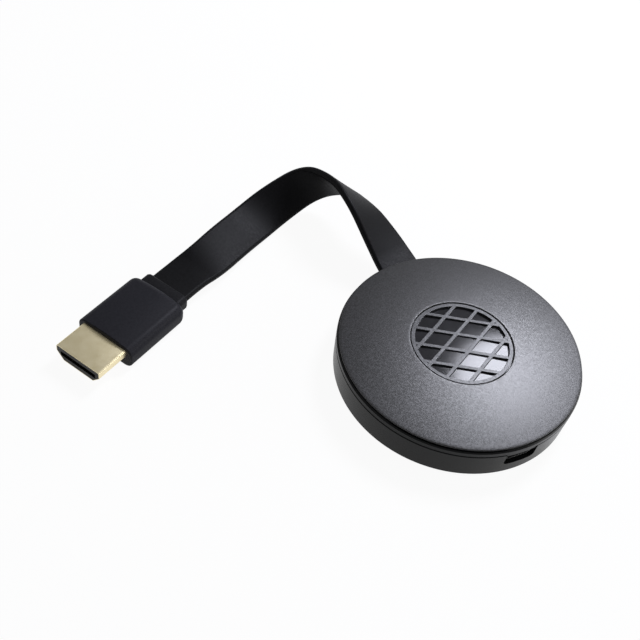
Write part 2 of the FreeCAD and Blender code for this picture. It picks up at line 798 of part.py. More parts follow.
def make_mode_button():
    """The button cap in its wall slot, with the flange that keeps it in the case."""
    button = body("mode_button")
    flange = sketch_on(button, "side", "Flange", FLANGE_INNER)
    slot_outline(flange, BUTTON_CENTRE, "(button_width + 2 * flange_lip)",
                 "(button_height + 2 * flange_lip)")
    pad(button, flange, "FlangePad", "flange_thickness")
    cap = sketch_on(button, "side", "Cap", FLANGE_INNER)
    slot_outline(cap, BUTTON_CENTRE, "button_width", "button_height")
    stem = pad(button, cap, "CapPad", "%s + button_proud - %s" % (WALL_AT_BUTTON, FLANGE_INNER))
    doc.recompute()
    tip = number("%s + button_proud" % WALL_AT_BUTTON)
    soften(button, "Chamfer", stem, "CapEdge",
           lambda edge: abs(edge.BoundBox.XMin - tip) < 1e-4, "button_edge")
    return button


def make_switch_plunger():
    """The switch's plunger, which rides with the button."""
    plunger = block("PlungerBlock", "plunger_length", "plunger_width", "plunger_height",
                    "(%s - plunger_length / 2)" % FLANGE_INNER, "0",
                    "(%s - plunger_height / 2)" % BUTTON_CENTRE)
    plunger.Label = "switch_plunger"
    return plunger


def make_tactile_switch():
    """The switch on the board, with the bore that its plunger slides in."""
    front = "(%s - plunger_length / 2)" % FLANGE_INNER
    middle = "(%s - switch_length / 2)" % front
    case = block("SwitchBlock", "switch_length", "switch_width", "switch_height", middle, "0", BOARD_TOP)
    depth = "(plunger_length / 2 + button_travel + plunger_gap)"
    bore = block("SwitchBore", depth, "(plunger_width + 2 * plunger_gap)",
                 "(plunger_height + 2 * plunger_gap)", "(%s - %s / 2)" % (front, depth), "0",
                 "(%s - plunger_height / 2 - plunger_gap)" % BUTTON_CENTRE)
    return cut("tactile_switch", case, bore)


def make_cable_anchor():
    """The moulded grip on the board that the flat cable ends in."""
    anchor = block("AnchorBlock", "anchor_width", "anchor_length", "anchor_height", "0",
                   "(%s - anchor_length / 2)" % ANCHOR_FACE, BOARD_TOP)
    top = number(BOARD_TOP + " + anchor_height")
    rounded = doc.addObject("Part::Fillet", "CableAnchor")
    ease_edges(rounded, anchor, lambda edge: abs(edge.CenterOfMass.z - top) < 1e-6, "anchor_edge")
    rounded.Label = "cable_anchor"
    return rounded


def blend_of(before, here, after, share):
    """The value at a share of the bend around one route point."""
    early = (before + here) * 0.5
    late = (here + after) * 0.5
    return early * (1 - share) ** 2 + here * 2 * share * (1 - share) + late * share ** 2


def ribbon_stations():
    """Places along the straight runs and tangent arcs, each with the way of its width."""
    points = [Vector(*place) for place, across in RIBBON_ROUTE]
    widths = [Vector(*across) for place, across in RIBBON_ROUTE]
    stations = [(points[0], points[1] - points[0], widths[0])]
    edges = []
    last_end = points[0]
    for index in range(1, len(points) - 1):
        before = points[index] - points[index - 1]
        after = points[index + 1] - points[index]
        half_turn = before.getAngle(after) / 2
        setback = ARC_SHARE * min(before.Length, after.Length)
        radius = setback / math.tan(half_turn)
        print("cable point %d: turn %.1f deg, radius %.1f" % (index, math.degrees(2 * half_turn), radius))
        inward = Vector(before).normalize()
        outward = Vector(after).normalize()
        start = points[index] - inward * setback
        end = points[index] + outward * setback
        centre_way = (outward - inward).normalize()
        centre = points[index] + centre_way * (radius / math.cos(half_turn))
        middle = centre + (points[index] - centre).normalize() * radius
        arc = Part.Arc(start, middle, end)
        edges.append(Part.LineSegment(last_end, start).toShape())
        edges.append(arc.toShape())
        last_end = end
        for share in (0.0, 1 / 3, 2 / 3, 1.0):
            parameter = arc.FirstParameter + share * (arc.LastParameter - arc.FirstParameter)
            across = blend_of(widths[index - 1], widths[index], widths[index + 1], share)
            stations.append((arc.value(parameter), Vector(*arc.tangent(parameter)[0]), across))
    edges.append(Part.LineSegment(last_end, points[-1]).toShape())
    stations.append((points[-1], points[-1] - points[-2], widths[-1]))
    return stations, Part.Wire(edges)


def ribbon_section(place, way, across):
    """The cable's flat section with its long edges eased, square to its way."""
    way = Vector(way).normalize()
    side = (across - way * across.dot(way)).normalize()
    upward = side.cross(way)
    half_width = number("ribbon_width / 2")
    half_thick = number("ribbon_thickness / 2")
    ease = number("ribbon_edge_round")
    corners = []
    for x, y in ((half_width, half_thick - ease), (half_width - ease, half_thick),
                 (ease - half_width, half_thick), (-half_width, half_thick - ease),
                 (-half_width, ease - half_thick), (ease - half_width, -half_thick),
                 (half_width - ease, -half_thick), (half_width, ease - half_thick)):
        corners.append(place + side * x + upward * y)
    return Part.makePolygon(corners + [corners[0]])


def make_ribbon_cable():
    """The flat cable: straight runs and tangent arcs, twisting as it turns over to the plug."""
    stations, path = ribbon_stations()
    sections = [ribbon_section(*station) for station in stations]
    solid = Part.makeLoft(sections, True, True)
    area = Part.Face(sections[0]).Area
    print("cable length %.1f, section %.2f, volume %.0f, section x length %.0f"
          % (path.Length, area, solid.Volume, area * path.Length))
    ribbon = doc.addObject("Part::Feature", "RibbonCable")
    ribbon.Shape = solid
    ribbon.Label = "ribbon_cable"
    return ribbon


def place_on_plug(piece):
    """Turn a piece made along X to the way of the cable's last run, its rear on the cable's end."""
    end = Vector(*RIBBON_ROUTE[-1][0])
    before = Vector(*RIBBON_ROUTE[-2][0])
    heading = math.degrees(math.atan2(end.y - before.y, end.x - before.x))
    foot = Vector(end.x, end.y, 0)
    piece.Placement = Placement(foot, Rotation(Vector(0, 0, 1), heading)) * piece.Placement
    return piece


def plug_section(sketch, inset="0"):
    """The plug body's section: flat foot, straight sides, rounded shoulders and a slight crown."""
    half = "(plug_width / 2 - %s)" % inset
    foot = "(%s)" % inset
    side_top = "(plug_side_height - %s)" % inset
    crown_half = "(plug_width / 2 - %s - plug_top_round)" % inset
    crown_radius = "((%s ^ 2 + plug_crown ^ 2) / (2 * plug_crown))" % crown_half
    outline(sketch, [
        ("plug_foot_round - " + half, foot),
        (half + " - plug_foot_round", foot, "plug_foot_round"),
        (half, foot + " + plug_foot_round"),
        (half, side_top + " - plug_top_round", "plug_top_round"),
        (crown_half, side_top, crown_radius),
        ("-" + crown_half, side_top, "plug_top_round"),
        ("-" + half, side_top + " - plug_top_round"),
        ("-" + half, foot + " + plug_foot_round", "plug_foot_round"),
    ])


def make_plug_body():
    """The moulded grip: crowned box, drawn in at the rear, with the pocket that holds the tip."""
    grip = body("plug_body")
    main = sketch_on(grip, "side", "Section", "%s + plug_shoulder" % PLUG_REAR)
    plug_section(main)
    pad(grip, main, "Block", "plug_length - plug_shoulder")
    wide = sketch_on(grip, "side", "ShoulderWide", "%s + plug_shoulder" % PLUG_REAR)
    plug_section(wide)
    narrow = sketch_on(grip, "side", "ShoulderNarrow", PLUG_REAR)
    plug_section(narrow, "plug_shoulder_draw")
    shoulder = grip.newObject("PartDesign::AdditiveLoft", grip.Name + "Shoulder")
    shoulder.Profile = wide
    shoulder.Sections = [narrow]
    shoulder.Ruled = True
    wide.Visibility = False
    narrow.Visibility = False
    socket = sketch_on(grip, "side", "TipPocket", PLUG_FRONT)
    tip_outline(socket, "0")
    pocket(grip, socket, "TipSeat", "tip_embedded")
    return place_on_plug(grip)


def tip_outline(sketch, inset):
    """The metal tip's section: wide above, with slanted lower corners."""
    half = "(tip_width / 2 - %s)" % inset
    foot_half = "(tip_foot_width / 2 - %s / 2)" % inset
    high = "(plug_centre_height + tip_height / 2 - %s)" % inset
    low = "(plug_centre_height - tip_height / 2 + %s)" % inset
    bend = "(plug_centre_height + tip_height / 2 - tip_side_drop)"
    corner = "(tip_round - %s)" % inset
    outline(sketch, [
        ("-" + foot_half, low),
        (foot_half, low),
        (half, bend),
        (half, high + " - " + corner, corner),
        (half + " - " + corner, high),
        ("%s - %s" % (corner, half), high, corner),
        ("-" + half, high + " - " + corner),
        ("-" + half, bend),
    ])


def make_plug_shell():
    """The plated sheet-metal tip, a tube open to the front."""
    shell = body("plug_shell")
    section = sketch_on(shell, "side", "Outside", TIP_START)
    tip_outline(section, "0")
    pad(shell, section, "Block", "tip_embedded + tip_exposed")
    inside = sketch_on(shell, "side", "Inside", TIP_END)
    tip_outline(inside, "tip_metal")
    pocket(shell, inside, "Hollow", "tip_embedded + tip_exposed - tip_metal")
    return place_on_plug(shell)


def make_plug_insulator():
    """The black insulator inside the tip, with its flat mouth."""
    core = body("plug_insulator")
    section = sketch_on(core, "side", "Section", "%s + tip_metal" % TIP_START)
    tip_outline(section, "(tip_metal + insulator_gap)")
    pad(core, section, "Block", "tip_embedded + tip_exposed - tip_metal - insulator_recess")
    mouth = sketch_on(core, "side", "Mouth", "%s - insulator_recess" % TIP_END)
    rectangle(mouth, "-mouth_width / 2", "plug_centre_height - mouth_height / 2",
              "mouth_width / 2", "plug_centre_height + mouth_height / 2")
    pocket(core, mouth, "MouthPocket", "mouth_depth")
    return place_on_plug(core)


def make_plug_contacts():
    """Nineteen contact strips: ten on the mouth's roof and nine between them on its floor."""
    pins = []
    front = "(%s - insulator_recess - (mouth_depth - pin_length))" % TIP_END
    rows = (
        (TOP_PINS, "(plug_centre_height + mouth_height / 2 - pin_thickness)"),
        (BOTTOM_PINS, "(plug_centre_height - mouth_height / 2)"),
    )
    for count, foot in rows:
        for index in range(count):
            across = "(pin_pitch * %.1f)" % (index - (count - 1) / 2)
            pins.append(block("Pin%dOf%d" % (index, count), "pin_length", "pin_width", "pin_thickness",
                              "(%s - pin_length / 2)" % front, across, foot))
    return place_on_plug(together("plug_contacts", pins))


def make_cable_collar():
    """The collar that relieves the strain where the flat cable enters the plug."""
    collar = body("cable_collar")
    section = sketch_on(collar, "side", "Section")
    rounded_rectangle(section, "-collar_width / 2", "(plug_centre_height - collar_height / 2)",
                      "collar_width / 2", "(plug_centre_height + collar_height / 2)", "collar_round")
    block_feature = pad(collar, section, "Block", "collar_length")
    doc.recompute()
    soften(collar, "Chamfer", block_feature, "RearEdge",
           lambda edge: abs(edge.BoundBox.XMax) < 1e-6, "collar_rear_chamfer")
    return place_on_plug(collar)


sub_parts = [
    make_bottom_case(),
    make_rim_ring(),
    make_top_cover(),
    make_inlay_plate(),
    make_emblem_lattice(),
    make_circuit_board(),
    make_board_screws(),
    make_processor(),
    rounded_plate("thermal_pad", "pad", PAD_BASE),
    rounded_plate("heat_spreader", "spreader", SPREADER_BASE),
    make_memory_chips(),
    make_flash_chip(),
    make_radio_shield(),
    make_chip_antenna(),
    row_of("power_inductors", "inductor", INDUCTORS),
    row_of("bypass_capacitors", "capacitor", CAPACITORS),
    make_crystal(),
    make_socket_shell(),
    make_socket_tongue(),
    make_socket_contacts(),
    make_mode_button(),
    make_switch_plunger(),
    make_tactile_switch(),
    make_cable_anchor(),
    make_ribbon_cable(),
    make_cable_collar(),
    make_plug_body(),
    make_plug_shell(),
    make_plug_insulator(),
    make_plug_contacts(),
]
doc.recompute()

for item in doc.Objects:
    if "Invalid" in item.State or "Error" in item.State:
        raise RuntimeError(item.Name + " did not build")
for sub_part in sub_parts:
    if sub_part.Shape.isNull() or not sub_part.Shape.isValid():
        raise RuntimeError(sub_part.Label + " is not a sound shape")

os.makedirs("parts", exist_ok=True)
for sub_part in sub_parts:
    sub_part.Shape.exportStep("parts/%s.step" % sub_part.Label)
print("%d sub-parts written" % len(sub_parts))
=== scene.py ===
"""A wireless display dongle on a pale surface: its finishes, its flat cable and the camera.

Sizes are in millimetres and turn to metres where a mesh is made. The frame is the model's own:
origin in the middle of the puck's underside, +Z up, power socket towards -Y, cable out at +Y.
"""

import math

import bmesh
import bpy
import numpy as np
from mathutils import Matrix, Vector


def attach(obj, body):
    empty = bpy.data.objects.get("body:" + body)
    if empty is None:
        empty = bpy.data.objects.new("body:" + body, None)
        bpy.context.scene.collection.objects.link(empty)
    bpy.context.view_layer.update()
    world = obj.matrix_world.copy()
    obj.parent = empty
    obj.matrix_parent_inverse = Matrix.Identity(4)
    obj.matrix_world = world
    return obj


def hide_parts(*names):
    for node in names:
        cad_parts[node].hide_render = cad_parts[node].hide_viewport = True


MM = 0.001

# Camera, fitted to the puck's circles in a photograph of 640 by 640 pixels
PHOTO_PIXELS = 640
FOCAL_PIXELS = 970.0
CAMERA_ELEVATION = 48.5
CAMERA_AZIMUTH = -32.5
CAMERA_ROLL = 11.0
CAMERA_DISTANCE = 251.6
PUCK_PIXEL = (451.2, 372.4)
SENSOR_WIDTH = 36.0
CLIP_START = 10

# Cover: an edge band, a shallow dome and the pan that the emblem sits in
COVER_RADIUS = 31.0
COVER_FOOT = 10.3
COVER_EDGE_TOP = 10.8
COVER_APEX = 12.85
COVER_WALL = 1.35
EDGE_ROUND = 0.15
EDGE_UNDERCUT = 0.1
PAN_RADIUS = 13.2
PAN_FLOOR = 11.0
PAN_UNDERSIDE = 10.2
PAN_OUTSIDE = 14.3
PAN_LIP_ROUND = 0.2
SKIRT_OUTSIDE = 28.5
SKIRT_INSIDE = 27.5
SKIRT_FOOT = 8.8
SKIRT_ROUND = 0.1
INLAY_THICKNESS = 0.6
INLAY_BULGE = 0.36

# Heights of the case's and the rim ring's edges in the solids, and where the eye finds them
CASE_EDGES = (7.5, 7.85, 8.0)
CASE_EDGES_SEEN = (7.5, 8.1, 8.25)
RIM_EDGES = (7.5, 8.0, 9.2, 9.5, 10.3)
RIM_EDGES_SEEN = (7.5, 8.25, 9.65, 9.9, 10.3)
RIM_FACE_EDGES = (8.0, 8.15, 9.2, 9.5)
RIM_FACE_EDGES_SEEN = (8.45, 8.6, 9.65, 9.9)
RIM_FACE_FROM = 31.0
HEIGHT_SLACK = 0.01

# Widths of the bevels that ease the crisp edges of copied nodes
RIB_EASING = 0.08
SOCKET_EASING = 0.06
BUTTON_EASING = 0.08

# Flat cable: the route's points with the way of its width, as in the solid model
CABLE_ROUTE = [
    ((0.0, 26.0, 6.5), (1.0, 0.0, 0.0)),
    ((0.0, 33.6, 6.5), (0.99, 0.13, 0.01)),
    ((-1.8, 43.0, 10.4), (0.94, 0.25, -0.23)),
    ((-4.4, 51.7, 14.7), (0.80, 0.28, -0.53)),
    ((-5.4, 61.3, 13.8), (0.63, 0.24, -0.74)),
    ((-10.9, 69.2, 9.5), (0.39, -0.29, -0.87)),
    ((-22.2, 67.9, 4.4), (0.40, -0.61, -0.68)),
    ((-31.5, 63.5, 3.0), (0.45, -0.83, -0.34)),
    ((-40.2, 57.8, 4.1), (0.47, -0.83, -0.31)),
    ((-47.9, 52.6, 4.6), (0.49, -0.85, -0.18)),
    ((-54.4, 50.2, 3.6), (0.51, -0.86, 0.03)),
    ((-61.0, 46.3, 3.6), (0.51, -0.86, 0.0)),
]
CABLE_WIDTH = 12.0
CABLE_THICKNESS = 2.0
CABLE_EDGE_ROUND = 0.85

# Plug, measured along its own axis from the cable's end
COLLAR_LENGTH = 3.4
COLLAR_WIDTH = 13.6
COLLAR_HEIGHT = 4.5
COLLAR_ROUND = 1.3
COLLAR_DRAW = ((0.0, 0.7), (0.15, 0.4), (0.4, 0.15), (0.8, 0.0))
GRIP_LENGTH = 20.2
GRIP_WIDTH = 17.5
GRIP_SIDE_HEIGHT = 6.7
GRIP_CROWN = 0.5
GRIP_TOP_ROUND = 2.4
GRIP_FOOT_ROUND = 2.4
GRIP_SHOULDER = 2.0
GRIP_SHOULDER_DRAW = 1.3
GRIP_FRONT_ROUND = 0.35
PLUG_CENTRE_HEIGHT = 3.6
TIP_WIDTH = 13.9
TIP_HEIGHT = 4.45
TIP_FOOT_WIDTH = 9.6
TIP_SIDE_DROP = 2.0
TIP_ROUND = 0.5
TIP_ROUND_LEAST = 0.1
TIP_METAL = 0.15
TIP_EXPOSED = 9.3
TIP_EMBEDDED = 4.0
TIP_LIP_ROUND = 0.06
TIP_LIP_MIDDLE = 0.3
INSULATOR_GAP = 0.02
INSULATOR_RECESS = 0.05
MOUTH_WIDTH = 11.2
MOUTH_HEIGHT = 1.5
MOUTH_DEPTH = 6.85
MOUTH_CORNER = 0.15
MOUTH_ROUND = 0.1

# Steps of the grids, and the angles in degrees above which an edge is shaded as a crease
TURN_STEPS = 360
INLAY_TURN_STEPS = 180
INLAY_STEPS = 16
DOME_STEPS = 24
CROWN_STEPS = 24
SPLINE_STEPS = 16
GRIP_CORNER_STEPS = 12
GRIP_EDGE_STEPS = 10
CREASE = 40
COVER_CREASE = 50
TIP_CREASE = 30
COPY_CREASE = 35

# Distances within which points merge and faces collapse, and the bend in degrees that joins faces
MERGE_WITHIN = 1e-4
COLLAPSE_WITHIN = 1e-5
COPY_MERGE_WITHIN = 1e-3
FLAT_WITHIN = 0.3

# A face counts as standing round the upright axis where the level part of its normal is longer
# than the first value and points from the axis, or to it, more truly than the second
ROUND_FACE_LEVEL = 0.1
ROUND_FACE_FACING = 0.995

# Noise of the moulded finishes, and the part of its range that runs from one shade to the other
MOTTLE_DETAIL = 3.0
MOTTLE_ROUGHNESS = 0.6
MOTTLE_FROM = 0.3
MOTTLE_TO = 0.7

# Stage: the floor's paper, the share of plain white that the eye and the reflections see in it,
# and the surround, which is white up to one elevation and dims to its overhead level by another
PAPER = "#f2f2f2"
FLOOR_GLOW = 0.94
FLOOR_GLOW_MIRRORED = 0.6
HORIZON_WHITE_TO = 6
OVERHEAD_FROM = 20
OVERHEAD_LEVEL = 0.3
FILL_LEVEL = 0.2
FLOOR_REACH = 3000

# Lamps: the way to each from the puck, its distance and size, its power in watts and its colour
DISH_WAY = (0.530, 0.313, 0.788)
DISH_DISTANCE = 520
DISH_WIDTH = 150
DISH_HEIGHT = 190
DISH_POWER = 2.65
DISH_COLOUR = "#f1f3ff"
SOFTBOX_WAY = (0.9, -0.45, 0.36)
SOFTBOX_DISTANCE = 700
SOFTBOX_WIDTH = 520
SOFTBOX_HEIGHT = 380
SOFTBOX_POWER = 1.9
SOFTBOX_COLOUR = "#ffffff"


def linear(code):
    """An sRGB hex colour as the linear colour that shaders take."""
    parts = np.array([int(code[place:place + 2], 16) for place in (1, 3, 5)]) / 255
    low = parts / 12.92
    high = ((parts + 0.055) / 1.055) ** 2.4
    return (*np.where(parts <= 0.04045, low, high), 1.0)


def add(tree, kind, values=None, links=None, **settings):
    """Add one node with its settings, its socket values and its links."""
    node = tree.nodes.new(kind)
    for name, value in settings.items():
        setattr(node, name, value)
    for socket, value in (values or {}).items():
        node.inputs[socket].default_value = value
    for socket, source in (links or {}).items():
        tree.links.new(source, node.inputs[socket])
    return node


def outward(piece):
    """Merge a closed piece's doubled points and turn all its faces outwards."""
    work = bmesh.new()
    work.from_mesh(piece.data)
    bmesh.ops.remove_doubles(work, verts=work.verts, dist=MERGE_WITHIN * MM)
    bmesh.ops.dissolve_degenerate(work, edges=work.edges, dist=COLLAPSE_WITHIN * MM)
    bmesh.ops.recalc_face_normals(work, faces=work.faces)
    if work.calc_volume(signed=True) < 0:
        bmesh.ops.reverse_faces(work, faces=work.faces)
    work.to_mesh(piece.data)
    work.free()


def smooth(piece, sharp_angle):
    """Shade smoothly, but keep creases sharper than an angle in degrees."""
    piece.data.shade_smooth()
    piece.data.set_sharp_from_angle(angle=math.radians(sharp_angle))


def grid_piece(name, grid, sharp_angle=CREASE):
    """A closed surface from a grid of points in millimetres, rows by columns. Each row is a closed
    ring, and the first and last rows have shrunk to points."""
    rows, columns = grid.shape[:2]
    row, column = np.meshgrid(np.arange(rows - 1), np.arange(columns), indexing="ij")
    column_after = (column + 1) % columns
    corners = [(row, column), (row, column_after), (row + 1, column_after), (row + 1, column)]
    quads = np.stack([down * columns + across for down, across in corners], axis=-1)
    mesh = bpy.data.meshes.new(name)
    mesh.from_pydata((grid.reshape(-1, 3) * MM).tolist(), [], quads.reshape(-1, 4).tolist())
    piece = bpy.data.objects.new(name, mesh)
    bpy.context.scene.collection.objects.link(piece)
    outward(piece)
    smooth(piece, sharp_angle)
    return piece


def rounded(corners, steps=6):
    """A profile through corners (x, y, radius): each corner with a radius becomes the arc that
    touches both of its sides, as steps + 1 points."""
    corners = np.array(corners, float)
    points = []
    for index, (x, y, radius) in enumerate(corners):
        here = np.array((x, y))
        if radius <= 0 or index in (0, len(corners) - 1):
            points.append(here)
            continue
        back = corners[index - 1, :2] - here
        ahead = corners[index + 1, :2] - here
        back = back / np.linalg.norm(back)
        ahead = ahead / np.linalg.norm(ahead)
        half = math.acos(np.clip(back @ ahead, -1, 1)) / 2
        middle = (back + ahead) / np.linalg.norm(back + ahead)
        centre = here + middle * radius / math.sin(half)
        start = here + back * radius / math.tan(half) - centre
        end = here + ahead * radius / math.tan(half) - centre
        turn = math.atan2(start[0] * end[1] - start[1] * end[0], start @ end)
        for angle in np.linspace(0, turn, steps + 1):
            spin = np.array(((math.cos(angle), -math.sin(angle)), (math.sin(angle), math.cos(angle))))
            points.append(centre + spin @ start)
    return np.array(points)


def turned(profile, count=TURN_STEPS):
    """A profile (radius, height) carried round the upright axis: (r cos a, r sin a, z)."""
    angle = np.linspace(0, 2 * math.pi, count, endpoint=False)
    radius = profile[:, :1]
    height = np.repeat(profile[:, 1:], count, axis=1)
    return np.stack((radius * np.cos(angle), radius * np.sin(angle), height), axis=-1)


def show(piece, *nodes, finish, body="housing"):
    """Put a piece in place of its nodes, on its body, with its material."""
    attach(piece, body)
    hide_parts(*nodes)
    piece.data.materials.clear()
    piece.data.materials.append(finish)
    return piece


def shade_as_turned(piece):
    """Shade the faces that stand round the upright axis as truly round. At each of its corners
    such a face's normal keeps its slope, and its level part points straight from the axis."""
    mesh = piece.data
    normal = np.empty(len(mesh.polygons) * 3)
    mesh.polygons.foreach_get("normal", normal)
    middle = np.empty(len(mesh.polygons) * 3)
    mesh.polygons.foreach_get("center", middle)
    corners = np.empty(len(mesh.polygons), int)
    mesh.polygons.foreach_get("loop_total", corners)
    point = np.empty(len(mesh.vertices) * 3)
    mesh.vertices.foreach_get("co", point)
    used = np.empty(len(mesh.loops), int)
    mesh.loops.foreach_get("vertex_index", used)
    normal = np.repeat(normal.reshape(-1, 3), corners, axis=0)
    middle = np.repeat(middle.reshape(-1, 3)[:, :2], corners, axis=0)
    place = point.reshape(-1, 3)[used][:, :2]
    level = np.linalg.norm(normal[:, :2], axis=1)
    facing = (normal[:, :2] * middle).sum(axis=1) / np.maximum(np.linalg.norm(middle, axis=1), MM)
    round_face = (level > ROUND_FACE_LEVEL) & (np.abs(facing) > ROUND_FACE_FACING * level)
    away = place / np.maximum(np.linalg.norm(place, axis=1, keepdims=True), MM)
    turned_way = np.column_stack((away * (np.sign(facing) * level)[:, None], normal[:, 2]))
    mesh.normals_split_custom_set(np.where(round_face[:, None], turned_way, 0).tolist())


def eased_copy(node, finish, bevel=None, shaping=None, body="housing"):
    """A copy of a node with merged points and smooth curves. A bevel, in millimetres, eases its
    crisp edges. A shaping, for a turned node, moves its points, an array in millimetres. Such a
    copy has no bevel, as its chamfers are its eased edges."""
    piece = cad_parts[node].copy()
    piece.data = piece.data.copy()
    piece.name = node + "_eased"
    # The copy sheds the node's own marks and its parent, and show() gives it a new parent
    for key in list(piece.keys()):
        del piece[key]
    piece.parent = None
    bpy.context.scene.collection.objects.link(piece)
    if shaping:
        points = np.empty(len(piece.data.vertices) * 3)
        piece.data.vertices.foreach_get("co", points)
        shaped = shaping(points.reshape(-1, 3) / MM) * MM
        piece.data.vertices.foreach_set("co", shaped.ravel())
    work = bmesh.new()
    work.from_mesh(piece.data)
    bmesh.ops.remove_doubles(work, verts=work.verts, dist=COPY_MERGE_WITHIN * MM)
    bmesh.ops.dissolve_limit(work, angle_limit=math.radians(FLAT_WITHIN), verts=work.verts,
                             edges=work.edges)
    work.to_mesh(piece.data)
    work.free()
    smooth(piece, COPY_CREASE)
    if shaping:
        shade_as_turned(piece)
    if bevel:
        ease = piece.modifiers.new("Eased edges", "BEVEL")
        ease.width = bevel * MM
        ease.segments = 2
        # One short edge would else hold the whole bevel to next to nothing
        ease.use_clamp_overlap = False
        ease.limit_method = "ANGLE"
        ease.angle_limit = math.radians(COPY_CREASE)
        ease.harden_normals = True
    return show(piece, node, body=body, finish=finish)


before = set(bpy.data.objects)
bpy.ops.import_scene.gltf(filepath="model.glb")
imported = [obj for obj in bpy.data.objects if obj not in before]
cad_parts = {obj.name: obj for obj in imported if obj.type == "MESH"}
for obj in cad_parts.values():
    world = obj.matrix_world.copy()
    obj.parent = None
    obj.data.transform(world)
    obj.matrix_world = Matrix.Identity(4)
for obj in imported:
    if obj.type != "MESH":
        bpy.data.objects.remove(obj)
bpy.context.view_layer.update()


def moulded(name, shade, pale, grain, relief, roughness, spread=0.06, specular=0.5, metallic=0.0):
    """A surface mottled between two close shades, with a bump of the same grain. The grain is a
    size and the relief a depth, both in millimetres."""
    material = bpy.data.materials.new(name)
    material.use_nodes = True
    tree = material.node_tree
    tree.nodes.clear()
    place = add(tree, "ShaderNodeTexCoord").outputs["Object"]
    mottle = add(tree, "ShaderNodeTexNoise",
                 {"Scale": 1 / (grain * MM), "Detail": MOTTLE_DETAIL, "Roughness": MOTTLE_ROUGHNESS},
                 {"Vector": place})
    level = add(tree, "ShaderNodeMapRange", {"From Min": MOTTLE_FROM, "From Max": MOTTLE_TO},
                {"Value": mottle.outputs["Fac"]})
    tint = add(tree, "ShaderNodeMix", {6: linear(shade), 7: linear(pale)},
               {0: level.outputs["Result"]}, data_type="RGBA")
    sheen = add(tree, "ShaderNodeMapRange", {"To Min": roughness - spread, "To Max": roughness + spread},
                {"Value": level.outputs["Result"]})
    bump = add(tree, "ShaderNodeBump", {"Distance": relief * MM}, {"Height": mottle.outputs["Fac"]})
    shader = add(tree, "ShaderNodeBsdfPrincipled",
                 {"Metallic": metallic, "Specular IOR Level": specular},
                 {"Base Color": tint.outputs[2], "Roughness": sheen.outputs["Result"],
                  "Normal": bump.outputs["Normal"]})
    add(tree, "ShaderNodeOutputMaterial", links={"Surface": shader.outputs["BSDF"]})
    return material


def eroded(name, shade, pale, pit, tilt, roughness, spread, specular):
    """A surface of small pits side by side, as spark erosion leaves in a mould. Each pit has its
    own shade, gloss and slight tilt, so that the sheen sparkles. The pit's width is in
    millimetres and the tilt is the sideways part of the normal."""
    material = bpy.data.materials.new(name)
    material.use_nodes = True
    tree = material.node_tree
    tree.nodes.clear()
    place = add(tree, "ShaderNodeTexCoord").outputs["Object"]
    pits = add(tree, "ShaderNodeTexVoronoi", {"Scale": 1 / (pit * MM)}, {"Vector": place})
    own = add(tree, "ShaderNodeSeparateColor", links={"Color": pits.outputs["Color"]})
    tint = add(tree, "ShaderNodeMix", {6: linear(shade), 7: linear(pale)}, {0: own.outputs["Red"]},
               data_type="RGBA")
    gloss = add(tree, "ShaderNodeMapRange", {"To Min": roughness - spread, "To Max": roughness + spread},
                {"Value": own.outputs["Green"]})
    lean = add(tree, "ShaderNodeVectorMath", {1: (2 * tilt,) * 3, 2: (-tilt,) * 3},
               {0: pits.outputs["Color"]}, operation="MULTIPLY_ADD")
    leaning = add(tree, "ShaderNodeVectorMath", links={
        0: add(tree, "ShaderNodeNewGeometry").outputs["Normal"], 1: lean.outputs["Vector"]}, operation="ADD")
    facing = add(tree, "ShaderNodeVectorMath", links={0: leaning.outputs["Vector"]}, operation="NORMALIZE")
    shader = add(tree, "ShaderNodeBsdfPrincipled", {"Specular IOR Level": specular},
                 {"Base Color": tint.outputs[2], "Roughness": gloss.outputs["Result"],
                  "Normal": facing.outputs["Vector"]})
    add(tree, "ShaderNodeOutputMaterial", links={"Surface": shader.outputs["BSDF"]})
    return material


# Black ABS from a spark-eroded mould: a dry surface that sparkles faintly round a broad, soft
# highlight. Its pits, some 0.1 mm across, are drawn 0.25 mm wide so that they show
COVER_FINISH = eroded("spark_eroded_abs_lid", "#020203", "#1c1c1f", 0.25, 0.03, 0.39, 0.03, 0.6)
# The same moulded ABS on the ribs, painted a shade paler than the lid: painted light for the light that the
# raised ribs catch
LATTICE_FINISH = eroded("spark_eroded_abs_lattice", "#1c1d1f", "#424346", 0.25, 0.02, 0.33, 0.03, 0.35)
# Black ABS from a fine-blasted mould: an even satin with a sheen that rolls round the wall. The
# grain, some 0.05 mm, is drawn at 0.4 mm, or it wouldn't show
CASE_FINISH = moulded("satin_abs_case", "#0e0f10", "#141516", 0.4, 0.006, 0.24, 0.04, 0.19)
# The rim ring's satin ABS is a shade paler than the case's: painted light for the light band that the rim
# shows above the parting line
RIM_FINISH = moulded("satin_abs_rim", "#111213", "#171819", 0.4, 0.006, 0.24, 0.04, 0.19)
# Polished black acrylic: a clean mirror of the lamp, barely waved over several millimetres
INLAY_FINISH = moulded("polished_acrylic_inlay", "#232325", "#29292c", 4.0, 0.002, 0.13, 0.01, 0.22)
# Extruded black elastomer, soft to the touch: nearly no gloss, with a faint mottle of 0.5 mm
JACKET_FINISH = moulded("extruded_elastomer_jacket", "#0a0a0b", "#111113", 0.5, 0.008, 0.5, 0.06, 0.09)
COLLAR_FINISH = moulded("moulded_elastomer_collar", "#101012", "#161619", 0.5, 0.01, 0.5, 0.06, 0.09)
# Overmoulded black PVC: as dull as the jacket but a little paler and bluer
GRIP_FINISH = moulded("overmoulded_pvc_grip", "#212125", "#27272b", 0.5, 0.01, 0.45, 0.06, 0.07)
# Gold flash over nickel on rolled steel: a pale, blurred mirror, clouded over some millimetres
TIP_FINISH = moulded("gold_flashed_steel_tip", "#f8eac0", "#fbefca", 2.5, 0.002, 0.42, 0.03, 0.5, 1.0)
